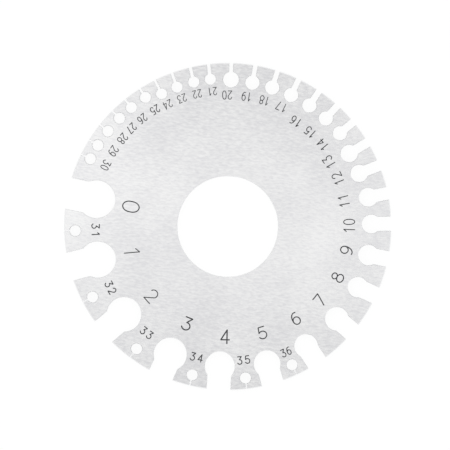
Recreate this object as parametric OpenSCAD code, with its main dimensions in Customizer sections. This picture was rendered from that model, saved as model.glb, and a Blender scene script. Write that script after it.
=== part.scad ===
// Wire gauge plate: a flat steel disc with a finger hole in the middle and 37 sizing slots
// round its rim. Each slot runs straight in from the rim to a round relief hole.
// The disc lies on z = 0, its centre is the origin, and gauge number 0 is on the left.

/* [Plate] */
// Outer diameter of the disc
plate_d = 82.55; // [78:0.05:100]
// Thickness of the sheet
plate_t = 2; // [1:0.1:4]
// Diameter of the finger hole
finger_hole_d = 25.4; // [15:0.1:40]
// Bevel round the rim
rim_bevel = 0.2; // [0.05:0.01:0.4]
// Bevel that takes the sharp edge off every hole and slot
cut_bevel = 0.15; // [0.05:0.01:0.3]

/* [Slots] */
// Direction of slot 0, anticlockwise from +X seen from above
first_slot_angle = 168.25; // [0:0.25:360]

/* [Hidden] */
$fn = 96;
inch = 25.4;
// How far a cutter reaches past the face or rim that it cuts
overcut = 1;

// Slot widths in runs: the last gauge number of the run, its width in 640ths of an inch,
// and how much wider each slot before it in the run is
width_runs = [
    [0, 200, 0],
    [14, 50, 10],
    [16, 40, 5],
    [20, 24, 4],
    [26, 12, 2],
    [31, 7, 1],
    [36, 4.5, 0.5]
];
last_number = width_runs[len(width_runs) - 1][0];

// Turn from each slot to the next, in degrees, for gauge numbers 0 to 29
slot_steps = [
    26, 26, 25.5, 21, 19.25, 17.25, 16.5, 15.25, 13.5, 12.5,
    10.75, 10.25, 9, 8.75, 8, 8.25, 8.25, 8, 8, 8.5,
    8, 6.5, 6.75, 6.5, 6, 6.5, 6, 6.5, 6.5, 5.75
];
// The slots after these sit one in each wide land, from slot 0 on, this many degrees past its middle
spaced_slots = len(slot_steps) + 1;
land_turn = 0.3;

// Relief drills: the first gauge number that takes the drill, its diameter in 64ths of an inch,
// and how far its centre lies in from the rim in millimetres
relief_drills = [
    [0, 24, 7.4],
    [1, 23, 7.4],
    [2, 22, 6.95],
    [3, 21, 5.9],
    [4, 19, 5.9],
    [5, 17, 5.2],
    [6, 15, 5.2],
    [8, 13, 5.05],
    [10, 12, 5.05],
    [12, 11, 5.5],
    [14, 9, 4.45],
    [20, 10, 4.2],
    [21, 7, 3.85],
    [25, 7, 2.65],
    [31, 7, 2.8]
];

function slot_w(n) =
    let (run = [for (row = width_runs) if (n <= row[0]) row][0])
    (run[1] + (run[0] - n) * run[2]) * inch / 640;

function spaced_angle(n) = n == 0 ? first_slot_angle : spaced_angle(n - 1) + slot_steps[n - 1];
function land_angle(n) = (spaced_angle(n) + spaced_angle(n + 1)) / 2 + land_turn;
function slot_angle(n) = n < spaced_slots ? spaced_angle(n) : land_angle(n - spaced_slots);

function relief_row(n) =
    let (reached = [for (row = relief_drills) if (row[0] <= n) row])
    reached[len(reached) - 1];
function relief_d(n) = relief_row(n)[1] * inch / 64;
function relief_inset(n) = relief_row(n)[2];

// Half section of a cut through the sheet whose edges are bevelled at both faces
function cut_profile(half) =
    let (reach = half + cut_bevel + overcut)
    [
        [0, -overcut],
        [reach, -overcut],
        [half, cut_bevel],
        [half, plate_t - cut_bevel],
        [reach, plate_t + overcut],
        [0, plate_t + overcut]
    ];

module round_cut(d) {
    rotate_extrude()
        polygon(cut_profile(d / 2));
}

// A straight cut of width w along +X, from x = 0
module straight_cut(w, length) {
    half = cut_profile(w / 2);
    other_half = [for (i = [len(half) - 2 : -1 : 1]) [-half[i][0], half[i][1]]];
    rotate([90, 0, 90])
        linear_extrude(length)
            polygon(concat([for (i = [1 : len(half) - 2]) half[i]], other_half));
}

module blank() {
    rim = plate_d / 2;
    rotate_extrude()
        polygon([
            [0, 0],
            [rim - rim_bevel, 0],
            [rim, rim_bevel],
            [rim, plate_t - rim_bevel],
            [rim - rim_bevel, plate_t],
            [0, plate_t]
        ]);
}

module gauge_slot(n) {
    inset = relief_inset(n);
    rotate(slot_angle(n))
        translate([plate_d / 2 - inset, 0, 0]) {
            round_cut(relief_d(n));
            straight_cut(slot_w(n), inset + overcut);
        }
}

module gauge_plate() {
    color([0.89, 0.89, 0.9])
        difference() {
            blank();
            round_cut(finger_hole_d);
            for (n = [0 : last_number])
                gauge_slot(n);
        }
}

gauge_plate();
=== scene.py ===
# %% [markdown]
# Wire gauge plate
#
# A wire gauge plate is a flat steel disc with slots of known widths round its rim. A wire is tried in
# the slots until one just takes it, and the number beside that slot is the wire's size. In this lesson
# the disc comes ready-made from the frame. We give it its satin finish, draw its numbers, and set it on
# a white table under soft light, seen straight from above.

# %% Load the frame
import bpy
import math
from collections import Counter
from itertools import groupby
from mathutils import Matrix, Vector


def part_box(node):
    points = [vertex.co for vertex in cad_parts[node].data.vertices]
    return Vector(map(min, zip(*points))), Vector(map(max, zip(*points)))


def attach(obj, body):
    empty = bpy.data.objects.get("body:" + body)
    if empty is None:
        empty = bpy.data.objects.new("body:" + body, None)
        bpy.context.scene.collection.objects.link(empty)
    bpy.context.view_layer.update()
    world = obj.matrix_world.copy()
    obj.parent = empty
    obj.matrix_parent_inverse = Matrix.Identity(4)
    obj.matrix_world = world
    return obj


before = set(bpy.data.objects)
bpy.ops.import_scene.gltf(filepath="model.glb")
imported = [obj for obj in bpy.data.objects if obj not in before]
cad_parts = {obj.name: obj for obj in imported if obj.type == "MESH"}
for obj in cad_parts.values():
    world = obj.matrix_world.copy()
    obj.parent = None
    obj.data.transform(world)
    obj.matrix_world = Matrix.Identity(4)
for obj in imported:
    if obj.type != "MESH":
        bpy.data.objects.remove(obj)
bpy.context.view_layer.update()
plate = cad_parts["gauge_plate"]
MM = 0.001
plate_low, plate_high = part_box("gauge_plate")
rim_radius = (plate_high.x - plate_low.x) / 2
face_z = plate_high.z
print(f"plate: {2 * rim_radius / MM:.2f} mm across, face at z = {face_z / MM:.2f} mm")

# %% [markdown]
# Small helpers
#
# Colours are easiest to pick as the hex values of a picture program, which are sRGB. Blender's shaders
# work with linear light, so one function turns a hex value into linear numbers. A second function adds
# a node, fills in its settings and links its inputs, so that a material reads as a short list of steps.
# A third starts a material with an empty node tree.


# %% Colour and node helpers
def linear(hex_colour):
    """An sRGB hex colour such as #D8D8DA as linear red, green, blue and alpha."""
    channels = [int(hex_colour[i:i + 2], 16) / 255 for i in (1, 3, 5)]
    light = [c / 12.92 if c <= 0.04045 else ((c + 0.055) / 1.055) ** 2.4 for c in channels]
    return (*light, 1.0)


def add_node(tree, kind, inputs=None, **settings):
    """Adds a node to a tree. An input is a value, or an output socket to link."""
    node = tree.nodes.new(kind)
    for name, value in settings.items():
        setattr(node, name, value)
    for name, value in (inputs or {}).items():
        if isinstance(value, bpy.types.NodeSocket):
            tree.links.new(value, node.inputs[name])
        else:
            node.inputs[name].default_value = value
    return node


def empty_material(name):
    """A material with an empty node tree."""
    material = bpy.data.materials.new(name)
    material.use_nodes = True
    material.node_tree.nodes.clear()
    return material


print("helpers ready, mid grey is", [round(v, 3) for v in linear("#808080")])

# %% [markdown]
# Satin ground steel: the face
#
# The sheet is ground flat on a belt, which leaves fine scratches that all run one way. Up close they
# are a few hundredths of a millimetre wide. From a step away the eye sees short soft streaks, a little
# lighter and darker than their neighbours. A noise texture gives them if it is stretched: long along
# the grain and short across it. A picture of brushed steel would do too, but it would repeat and blur.
# The streaks are drawn 0.45 mm wide, wider than the real scratches, because anything finer is lost in
# the render. A second, large noise adds the faint clouds that handling leaves.

# %% Grain of the ground face
STEEL_DARK = "#C5C5C7"
STEEL_PALE = "#DADADA"
GRAIN_TURN = math.radians(-7)
STREAK_LONG = 1.2 * MM
STREAK_WIDE = 0.45 * MM
CLOUD_SIZE = 16 * MM
# The streaks count this many times as much as the clouds, and their sum runs from dark to pale
STREAK_WEIGHT = 2.0
SUM_DARK = 1.0
SUM_PALE = 2.0

steel = empty_material("satin_ground_steel")
steel_tree = steel.node_tree
place = add_node(steel_tree, "ShaderNodeTexCoord")
grain = add_node(
    steel_tree,
    "ShaderNodeMapping",
    {
        "Vector": place.outputs["Object"],
        "Rotation": (0, 0, GRAIN_TURN),
        "Scale": (STREAK_LONG, STREAK_WIDE, STREAK_LONG),
    },
    vector_type="TEXTURE",
)
streaks = add_node(
    steel_tree,
    "ShaderNodeTexNoise",
    {"Vector": grain.outputs["Vector"], "Scale": 1.0, "Detail": 1.0, "Distortion": 0.3},
)
clouds = add_node(
    steel_tree,
    "ShaderNodeTexNoise",
    {"Vector": place.outputs["Object"], "Scale": 1 / CLOUD_SIZE, "Detail": 1.0},
)
tone = add_node(
    steel_tree,
    "ShaderNodeMath",
    {0: streaks.outputs["Fac"], 1: STREAK_WEIGHT, 2: clouds.outputs["Fac"]},
    operation="MULTIPLY_ADD",
)
spread = add_node(
    steel_tree,
    "ShaderNodeMapRange",
    {"Value": tone.outputs["Value"], "From Min": SUM_DARK, "From Max": SUM_PALE},
)
ground = add_node(
    steel_tree,
    "ShaderNodeMix",
    {"Factor": spread.outputs["Result"], "A": linear(STEEL_DARK), "B": linear(STEEL_PALE)},
    data_type="RGBA",
)
print(f"streaks {STREAK_LONG / MM:.2f} by {STREAK_WIDE / MM:.2f} mm, clouds {CLOUD_SIZE / MM:.0f} mm")

# %% [markdown]
# Satin ground steel: the walls
#
# The rim, the slots and the holes are cut through the sheet, and cutting leaves a duller wall with upright
# tool marks. They could be modelled as grooves, but at this size only their lighter and darker stripes
# show. Both wall colours are also darker than the face, as painted shade on the sides of the plate.
# The noise is the same as on the face, but stretched through the thickness of the plate, so that
# the marks stand upright all the way round.

# %% Tool marks and painted shade of the walls
# Tool-mark stripes, both darker than the face as painted shade on the walls
WALL_DARK_AND_SHADE = "#B0B0B2"
WALL_PALE_AND_SHADE = "#D0D0D2"
CUT_MARK_LONG = 4 * MM
CUT_MARK_WIDE = 0.4 * MM

cut_grain = add_node(
    steel_tree,
    "ShaderNodeMapping",
    {"Vector": place.outputs["Object"], "Scale": (CUT_MARK_WIDE, CUT_MARK_WIDE, CUT_MARK_LONG)},
    vector_type="TEXTURE",
)
cut_marks = add_node(
    steel_tree,
    "ShaderNodeTexNoise",
    {"Vector": cut_grain.outputs["Vector"], "Scale": 1.0, "Detail": 1.0},
)
wall = add_node(
    steel_tree,
    "ShaderNodeMix",
    {"Factor": cut_marks.outputs["Fac"], "A": linear(WALL_DARK_AND_SHADE), "B": linear(WALL_PALE_AND_SHADE)},
    data_type="RGBA",
)
print(f"tool marks {CUT_MARK_WIDE / MM:.1f} mm wide")

# %% [markdown]
# Face, bevel or wall
#
# The sharp edges are taken off last, and these fresh bevels are bright steel. Their colour is also
# lifted as a painted highlight, and the walls carry painted shade, so each surface's colour follows the
# way it faces. All three surfaces belong to one mesh, which stays as the frame gives it, so the material
# tells them apart by itself. The upright part of the surface normal does that: it is 1 on the flat faces,
# about 0.7 on a bevel and 0 on a wall.

# %% One colour for the three surfaces
# Fresh bevel colour with a painted highlight on top, lighter than the face
BEVEL_FRESH_AND_HIGHLIGHT = "#F0F0F1"
HIGHLIGHT_BELOW = 0.95
SHADED_WALL_BELOW = 0.3

normal = add_node(steel_tree, "ShaderNodeSeparateXYZ", {"Vector": place.outputs["Normal"]})
upright = add_node(steel_tree, "ShaderNodeMath", {0: normal.outputs["Z"]}, operation="ABSOLUTE")
# Mask of the painted highlight: every surface off the flat face, with the walls painted over next
bevel_highlight_mask = add_node(
    steel_tree,
    "ShaderNodeMath",
    {0: upright.outputs["Value"], 1: HIGHLIGHT_BELOW},
    operation="LESS_THAN",
)
# Mask of the painted shade: the walls take the darker wall colours
wall_shade_mask = add_node(
    steel_tree,
    "ShaderNodeMath",
    {0: upright.outputs["Value"], 1: SHADED_WALL_BELOW},
    operation="LESS_THAN",
)
bevelled = add_node(
    steel_tree,
    "ShaderNodeMix",
    {"Factor": bevel_highlight_mask.outputs["Value"], "A": ground.outputs["Result"], "B": linear(BEVEL_FRESH_AND_HIGHLIGHT)},
    data_type="RGBA",
)
steel_colour = add_node(
    steel_tree,
    "ShaderNodeMix",
    {"Factor": wall_shade_mask.outputs["Value"], "A": bevelled.outputs["Result"], "B": wall.outputs["Result"]},
    data_type="RGBA",
)
print("wall below", SHADED_WALL_BELOW, "and bevel below", HIGHLIGHT_BELOW, "of the upright normal")

# %% [markdown]
# From colour to steel
#
# Bare steel is a metal: its colour tints what it mirrors. Grinding blurs that mirror image to a soft
# sheen, which a roughness near 0.4 gives. The streaks move the roughness a little and stand up as a very
# low bump, so that the sheen breaks up along the grain.

# %% Finish of the plate
ROUGH_LOW = 0.34
ROUGH_HIGH = 0.42
# The span that the streak noise seldom leaves
STREAK_LOW = 0.3
STREAK_HIGH = 0.7
SCRATCH_DEPTH = 0.002 * MM
SCRATCH_STRENGTH = 0.5

rough = add_node(
    steel_tree,
    "ShaderNodeMapRange",
    {
        "Value": streaks.outputs["Fac"],
        "From Min": STREAK_LOW,
        "From Max": STREAK_HIGH,
        "To Min": ROUGH_LOW,
        "To Max": ROUGH_HIGH,
    },
)
scratches = add_node(
    steel_tree,
    "ShaderNodeBump",
    {"Height": streaks.outputs["Fac"], "Strength": SCRATCH_STRENGTH, "Distance": SCRATCH_DEPTH},
)
steel_shader = add_node(
    steel_tree,
    "ShaderNodeBsdfPrincipled",
    {
        "Base Color": steel_colour.outputs["Result"],
        "Metallic": 1.0,
        "Roughness": rough.outputs["Result"],
        "Normal": scratches.outputs["Normal"],
    },
)
add_node(steel_tree, "ShaderNodeOutputMaterial", {"Surface": steel_shader.outputs["BSDF"]})
plate.data.materials.clear()
plate.data.materials.append(steel)
print("plate finish:", plate.data.materials[0].name)

# %% [markdown]
# The numbers as pen strokes
#
# The numbers are marked with a single line, as an engraving machine draws them: a point moves along
# straight and round runs, and the line is as wide as the point. So each numeral is written here as a few
# strokes in a cell one unit wide and high, and a new stroke starts at each sharp corner. A font would be
# quicker, but its thick and thin strokes would look printed.


# %% Shapes of the ten numerals
def arc(cx, cy, rx, ry, start, end, steps=16):
    """Points on an ellipse from the start angle to the end angle, in degrees."""
    angles = [math.radians(start + (end - start) * i / steps) for i in range(steps + 1)]
    return [(cx + rx * math.cos(a), cy + ry * math.sin(a)) for a in angles]


ZERO = arc(0.5, 0.57, 0.5, 0.43, 0, 180) + arc(0.5, 0.43, 0.5, 0.43, 180, 360) + [(1, 0.57)]
SIX = arc(0.71, 0.35, 0.68, 0.65, 70, 180) + arc(0.5, 0.32, 0.47, 0.32, 190, 540, 24)
NUMERAL_STROKES = {
    "0": [ZERO],
    "1": [[(0.25, 0.76), (0.62, 1)], [(0.62, 1), (0.62, 0)]],
    "2": [arc(0.5, 0.7, 0.48, 0.3, 165, -25) + [(0, 0)], [(0, 0), (1, 0)]],
    "3": [[(0.06, 1), (0.94, 1)], [(0.94, 1), (0.41, 0.6)], arc(0.45, 0.3, 0.53, 0.3, 95, -155)],
    "4": [[(0.72, 0), (0.72, 1)], [(0.72, 1), (0, 0.27)], [(0, 0.27), (1, 0.27)]],
    "5": [[(0.93, 1), (0.17, 1)], [(0.17, 1), (0.06, 0.53)], arc(0.47, 0.32, 0.54, 0.32, 140, -155)],
    "6": [SIX],
    "7": [[(0, 1), (1, 1)], [(1, 1), (0.35, 0)]],
    "8": [arc(0.5, 0.78, 0.41, 0.22, -90, 270, 20), arc(0.5, 0.28, 0.54, 0.28, 90, 450, 24)],
    "9": [[(1 - x, 1 - y) for x, y in SIX]],
}
print("strokes:", {digit: len(strokes) for digit, strokes in NUMERAL_STROKES.items()})

# %% [markdown]
# Drawing a stroke
#
# By hand, a line is drawn in edit mode: start with one vertex and extrude it from point to point. A
# small plane merged at its centre gives that first vertex. Each of the ten numerals is drawn once, and
# copied later wherever it is needed.

# %% Draw the ten numerals
START_PLANE = 0.01


def draw_stroke(points):
    """In edit mode: one vertex at the first point, extruded to each point after it."""
    x, y = points[0]
    bpy.ops.mesh.select_all(action="DESELECT")
    bpy.ops.mesh.primitive_plane_add(size=START_PLANE, location=(x, y, 0))
    bpy.ops.mesh.merge(type="CENTER")
    for next_x, next_y in points[1:]:
        step = (next_x - x, next_y - y, 0)
        bpy.ops.mesh.extrude_region_move(TRANSFORM_OT_translate={"value": step})
        x, y = next_x, next_y


numerals = {}
for digit, strokes in NUMERAL_STROKES.items():
    bpy.ops.object.select_all(action="DESELECT")
    bpy.ops.mesh.primitive_plane_add(size=1)
    pattern = bpy.context.object
    pattern.name = "numeral_" + digit
    bpy.ops.object.mode_set(mode="EDIT")
    bpy.ops.mesh.delete(type="VERT")
    for points in strokes:
        draw_stroke(points)
    bpy.ops.object.mode_set(mode="OBJECT")
    numerals[digit] = pattern
print("numeral points:", {digit: len(o.data.vertices) for digit, o in numerals.items()})

# %% [markdown]
# Finding the slots
#
# Each number belongs to a slot, so we look for the slots before we set the numbers. A ray that flies in
# from outside, straight at the centre, stops at the rim where it meets a land, and flies on where it
# meets a slot. Once round in small steps gives the direction and the width of every slot. The widest
# slot is number 0 and each narrower one is the next number, so sorting by width counts them. One more
# ray up the middle of each slot ends at the far wall of its relief hole. A typed list of directions
# would be shorter, but it would no longer fit once the plate changes.

# %% Find the slots
# One step is under 0.004 mm along the rim, and the closest slot widths differ by 0.02 mm
WALK_STEPS = 72000
# A ray that ends this far inside the rim has gone into a slot
LAND_MARGIN = 0.1 * MM
RAY_START = 2 * rim_radius

depsgraph = bpy.context.evaluated_depsgraph_get()
middle_z = (plate_low.z + plate_high.z) / 2


def steel_radius(angle):
    """How far from the centre a ray from that direction, aimed at the centre, meets the steel."""
    outward = Vector((math.cos(angle), math.sin(angle), 0))
    origin = outward * RAY_START + Vector((0, 0, middle_z))
    _, spot, *_ = bpy.context.scene.ray_cast(depsgraph, origin, -outward)
    return spot.xy.length


step_angle = math.tau / WALK_STEPS
on_land = [steel_radius(i * step_angle) > rim_radius - LAND_MARGIN for i in range(WALK_STEPS)]
first_land = on_land.index(True)
walk = range(first_land, first_land + WALK_STEPS)
slots = [list(run) for land, run in groupby(walk, lambda i: on_land[i % WALK_STEPS]) if not land]
slots.sort(key=len, reverse=True)
slot_angles = [(slot[0] + slot[-1]) / 2 * step_angle for slot in slots]
hole_radii = [steel_radius(angle) for angle in slot_angles]
print("slots:", len(slots), "and slot 0 at", round(math.degrees(slot_angles[0]), 2), "degrees")

# %% [markdown]
# Where each number stands
#
# Every number reads with its head towards the middle of the plate and stands just inside the relief hole
# of its slot. The wide slots have large numbers and the close ones small. One rule for all of them would
# miss the photograph, where many stand a little past their slot. So the largest are set one by one and the
# others in runs.

# %% Places and sizes of the numbers
# The last number in a run, the turn past its slot in degrees, and in millimetres the gap from the relief
# hole to the foot, the height and the width of the line
NUMBER_RUNS = [
    (0, 0.2, 2.1, 4.2, 0.29),
    (1, -0.4, 2.4, 3.9, 0.25),
    (2, 2.1, 2.3, 3.4, 0.25),
    (3, 1.6, 3.0, 3.2, 0.33),
    (4, 1.9, 2.1, 3.4, 0.33),
    (5, 2.0, 3.0, 3.0, 0.29),
    (6, 3.0, 2.7, 3.0, 0.29),
    (7, 1.5, 1.8, 3.0, 0.29),
    (9, 0.2, 1.6, 3.0, 0.29),
    (10, -0.8, 1.8, 2.8, 0.24),
    (11, 0.6, 2.6, 2.5, 0.24),
    (13, 1.4, 2.1, 2.4, 0.24),
    (16, 1.0, 2.4, 2.1, 0.24),
    (20, 1.5, 0.9, 2.1, 0.2),
    (24, -0.3, 0.8, 1.9, 0.19),
    (27, -0.6, 1.6, 1.9, 0.22),
    (29, -1.4, 1.7, 2.0, 0.22),
    (30, -0.4, 1.8, 2.0, 0.22),
    (32, 0, 2.8, 1.9, 0.26),
    (33, -0.6, 2.4, 1.9, 0.26),
    (35, 0.1, 2.2, 1.9, 0.26),
    (36, 0, 1.2, 1.9, 0.24),
]
# The last number in a run, and the width and the spacing of its digits as shares of their height
DIGIT_RUNS = [(9, 0.63, 0), (17, 0.46, 0.78), (30, 0.43, 0.69), (35, 0.56, 1.05), (36, 0.5, 0.78)]
# Numbers that lean, in degrees
NUMBER_TILT = {1: -9}
print("runs:", len(NUMBER_RUNS), "for", len(slot_angles), "numbers")

# %% [markdown]
# Setting the digits
#
# A digit is a copy of its numeral, with a mesh of its own, scaled to its size, turned to its direction
# and moved to its place. The two digits of a number sit side by side on the same circle. Digits with the
# same line width are kept together for the next step, and the ten patterns have then done their work.


# %% Place the digits round the plate
def run_of(runs, number):
    """The values of the run that a number belongs to."""
    return next(run[1:] for run in runs if number <= run[0])


def place_digit(digit, angle, tilt, foot_radius, width, height):
    """A copy of a numeral, its foot on a circle of that radius and its head towards the centre."""
    bpy.ops.object.select_all(action="DESELECT")
    numerals[digit].select_set(True)
    bpy.context.view_layer.objects.active = numerals[digit]
    bpy.ops.object.duplicate()
    copy = bpy.context.object
    half_width = width / 2
    turn = angle + tilt + math.pi / 2
    copy.scale = (width, height, 1)
    copy.rotation_euler = (0, 0, turn)
    copy.location = (
        foot_radius * math.cos(angle) - half_width * math.cos(turn),
        foot_radius * math.sin(angle) - half_width * math.sin(turn),
        face_z,
    )
    bpy.ops.object.transform_apply()
    return copy


lines = {}
for number, slot_angle in enumerate(slot_angles):
    digits = str(number)
    past_slot, gap, height, line_wide = run_of(NUMBER_RUNS, number)
    width_share, pitch_share = run_of(DIGIT_RUNS, number)
    middle = slot_angle + math.radians(past_slot)
    tilt = math.radians(NUMBER_TILT.get(number, 0))
    tall = height * MM
    foot = hole_radii[number] - gap * MM
    for i, digit in enumerate(digits):
        angle = middle + tall * pitch_share / foot * (i - (len(digits) - 1) / 2)
        copy = place_digit(digit, angle, tilt, foot, tall * width_share, tall)
        lines.setdefault(line_wide * MM, []).append(copy)
bpy.ops.object.select_all(action="DESELECT")
for pattern in numerals.values():
    pattern.select_set(True)
bpy.ops.object.delete()
print("digits placed:", {f"{wide / MM:.2f} mm line": len(copies) for wide, copies in lines.items()})

# %% [markdown]
# From line to mark
#
# The lines of one width are joined and turned into a curve, because a curve can carry a round section
# along its whole length. A ball as wide as the line closes each end, as the round point of the engraving
# machine leaves it, and fills the corners where two strokes meet. A flat ribbon would need less, but its
# ends and corners would come out square. Pressed nearly flat, the round line becomes a thin mark that
# lies on the steel.

# %% Give the lines their width
MARK_PROUD = 0.02 * MM
BALL_SEGMENTS = 8
BALL_RINGS = 6


def mark_from_lines(copies, line_wide):
    """Joined lines as a round tube with round ends, pressed flat on the plate's face."""
    bpy.ops.object.select_all(action="DESELECT")
    for copy in copies:
        copy.select_set(True)
    bpy.context.view_layer.objects.active = copies[0]
    bpy.ops.object.join()
    mesh = bpy.context.object.data
    uses = Counter(i for edge in mesh.edges for i in edge.vertices)
    # Rounded to a ten-thousandth of a millimetre, so that strokes that meet share one ball
    ends = {tuple(round(c, 7) for c in v.co) for v in mesh.vertices if uses[v.index] == 1}
    bpy.ops.object.convert(target="CURVE")
    curve = bpy.context.object.data
    curve.dimensions = "3D"
    curve.bevel_depth = line_wide / 2
    curve.bevel_resolution = 2
    curve.use_fill_caps = True
    bpy.ops.object.convert(target="MESH")
    bpy.ops.object.mode_set(mode="EDIT")
    for end in sorted(ends):
        bpy.ops.mesh.primitive_uv_sphere_add(
            segments=BALL_SEGMENTS,
            ring_count=BALL_RINGS,
            radius=line_wide / 2,
            location=end,
        )
    bpy.ops.mesh.select_all(action="SELECT")
    bpy.ops.transform.resize(value=(1, 1, MARK_PROUD / (line_wide / 2)), center_override=(0, 0, face_z))
    bpy.ops.mesh.normals_make_consistent(inside=False)
    bpy.ops.object.mode_set(mode="OBJECT")
    return bpy.context.object


marks = [mark_from_lines(copies, line_wide) for line_wide, copies in lines.items()]
bpy.ops.object.select_all(action="DESELECT")
for piece in marks:
    piece.select_set(True)
bpy.context.view_layer.objects.active = marks[0]
bpy.ops.object.join()
numbers = bpy.context.object
numbers.name = "gauge_numbers"
print("number mesh:", len(numbers.data.polygons), "faces")

# %% [markdown]
# Burnt-in mark
#
# Numbers on such plates are burnt or etched in: a laser or an acid pad darkens the steel to a matt
# grey-black oxide. It has no shine of its own, and it is a little uneven along the line, so a fine noise
# moves it between two dark greys. The oxide is no bare metal, so the shader's metallic value stays at 0.

# %% Finish of the numbers
MARK_DARK = "#2C2D30"
MARK_PALE = "#4A4B4E"
MARK_PATCH = 0.5 * MM
MARK_ROUGH = 0.7

mark = empty_material("burnt_oxide_mark")
mark_tree = mark.node_tree
mark_place = add_node(mark_tree, "ShaderNodeTexCoord")
patches = add_node(
    mark_tree,
    "ShaderNodeTexNoise",
    {"Vector": mark_place.outputs["Object"], "Scale": 1 / MARK_PATCH, "Detail": 2.0},
)
mark_colour = add_node(
    mark_tree,
    "ShaderNodeMix",
    {"Factor": patches.outputs["Fac"], "A": linear(MARK_DARK), "B": linear(MARK_PALE)},
    data_type="RGBA",
)
mark_shader = add_node(
    mark_tree,
    "ShaderNodeBsdfPrincipled",
    {"Base Color": mark_colour.outputs["Result"], "Roughness": MARK_ROUGH},
)
add_node(mark_tree, "ShaderNodeOutputMaterial", {"Surface": mark_shader.outputs["BSDF"]})
numbers.data.materials.clear()
numbers.data.materials.append(mark)
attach(numbers, "root")
print("number finish:", mark.name)

# %% [markdown]
# The table
#
# The ground of the picture is plain white. More light on the table would wash out the plate as well, so
# the floor is a matt sheet that glows, but only for the camera and for rays that a mirror or a glass
# sends on. Its glow and the light on it come to just white together. Where the plate keeps light off the
# floor, a thin soft shadow stays.

# %% Floor and white ground
FLOOR_SIZE = 6.0
FLOOR_GAP = 0.02 * MM
FLOOR_GREY = "#6C6C6C"
FLOOR_GLOW = 0.9
FLOOR_ROUGH = 0.9
WHITE = (1, 1, 1, 1)


def seen_rays(tree):
    """An output that is 1 for rays from the camera, a mirror or a glass, and 0 for all others."""
    rays = add_node(tree, "ShaderNodeLightPath")
    sent_on = add_node(
        tree,
        "ShaderNodeMath",
        {0: rays.outputs["Is Glossy Ray"], 1: rays.outputs["Is Transmission Ray"]},
        operation="MAXIMUM",
    )
    seen = add_node(
        tree,
        "ShaderNodeMath",
        {0: rays.outputs["Is Camera Ray"], 1: sent_on.outputs["Value"]},
        operation="MAXIMUM",
    )
    return seen.outputs["Value"]


bpy.ops.object.select_all(action="DESELECT")
bpy.ops.mesh.primitive_plane_add(size=FLOOR_SIZE, location=(0, 0, plate_low.z - FLOOR_GAP))
floor = bpy.context.object
floor.name = "floor"
table = empty_material("white_table")
table_tree = table.node_tree
glow = add_node(
    table_tree,
    "ShaderNodeMath",
    {0: seen_rays(table_tree), 1: FLOOR_GLOW},
    operation="MULTIPLY",
)
table_shader = add_node(
    table_tree,
    "ShaderNodeBsdfPrincipled",
    {
        "Base Color": linear(FLOOR_GREY),
        "Roughness": FLOOR_ROUGH,
        "Specular IOR Level": 0.0,
        "Emission Color": WHITE,
        "Emission Strength": glow.outputs["Value"],
    },
)
add_node(table_tree, "ShaderNodeOutputMaterial", {"Surface": table_shader.outputs["BSDF"]})
floor.data.materials.append(table)
print("floor at z =", round(floor.location.z / MM, 3), "mm")

# %% [markdown]
# Light from all round
#
# Bare metal shows what is around it, so most of the light comes from a world that is an even white. What
# the camera and the steel see of it is full white, and what it sheds on matt surfaces is a little less.

# %% World
WORLD_LIGHT = 0.7
WORLD_SEEN = 1.0

world = bpy.data.worlds.new("studio")
bpy.context.scene.world = world
world.use_nodes = True
world_tree = world.node_tree
world_tree.nodes.clear()
strength = add_node(
    world_tree,
    "ShaderNodeMapRange",
    {"Value": seen_rays(world_tree), "To Min": WORLD_LIGHT, "To Max": WORLD_SEEN},
)
sky = add_node(
    world_tree,
    "ShaderNodeBackground",
    {"Color": WHITE, "Strength": strength.outputs["Result"]},
)
add_node(world_tree, "ShaderNodeOutputWorld", {"Surface": sky.outputs["Background"]})
print("world:", WORLD_SEEN, "seen,", WORLD_LIGHT, "shed")

# %% [markdown]
# Two soft boxes
#
# An even white world alone would leave the plate flat. One long soft box hangs straight above and
# brightens a band across the plate, so that the far and the near edge stay a shade darker. A small soft
# box at the upper left lifts that side. They are close and small, so a few hundredths of a watt do.


# %% Lamps
def soft_box(name, location, size, power):
    """A rectangular lamp that faces the middle of the plate, in metres and watts."""
    bpy.ops.object.light_add(type="AREA", location=location)
    lamp = bpy.context.object
    lamp.name = name
    lamp.data.shape = "RECTANGLE"
    lamp.data.size, lamp.data.size_y = size
    lamp.data.energy = power
    lamp.visible_camera = False
    aim = -lamp.location
    lamp.rotation_euler = aim.to_track_quat("-Z", "Y").to_euler()
    return lamp


lamps = [
    soft_box("soft_box_above", location=(0, 0, 0.20), size=(0.34, 0.06), power=0.038),
    soft_box("soft_box_left", location=(-0.05, 0.03, 0.08), size=(0.05, 0.05), power=0.0025),
]
print("lamps:", [lamp.name for lamp in lamps])

# %% [markdown]
# The camera
#
# The photograph looks straight down through a long lens, so no wall of a slot shows. The picture is
# square and 450 pixels wide, and the plate's rim measures 163.6 pixels from its centre, which gives the
# width of the field. The plate stands a little right of and below the picture's middle.

# %% Camera straight above
PICTURE_PIXELS = 450
RIM_PIXELS = 163.6
CENTRE_RIGHT_PIXELS = 2.74
CENTRE_DOWN_PIXELS = 1.47
LENS_MM = 600
SENSOR_MM = 36
CLIP_NEAR = 0.01
CLIP_FAR = 20.0

pixel = rim_radius / RIM_PIXELS
field = pixel * PICTURE_PIXELS
camera_height = face_z + field * LENS_MM / SENSOR_MM
bpy.ops.object.camera_add(
    location=(-CENTRE_RIGHT_PIXELS * pixel, CENTRE_DOWN_PIXELS * pixel, camera_height),
    rotation=(0, 0, 0),
)
camera = bpy.context.object
camera.data.lens = LENS_MM
camera.data.sensor_width = SENSOR_MM
camera.data.clip_start = CLIP_NEAR
camera.data.clip_end = CLIP_FAR
bpy.context.scene.camera = camera
bpy.context.scene.view_settings.view_transform = "Standard"
print(f"field {field / MM:.1f} mm wide, camera {camera_height / MM:.0f} mm up")
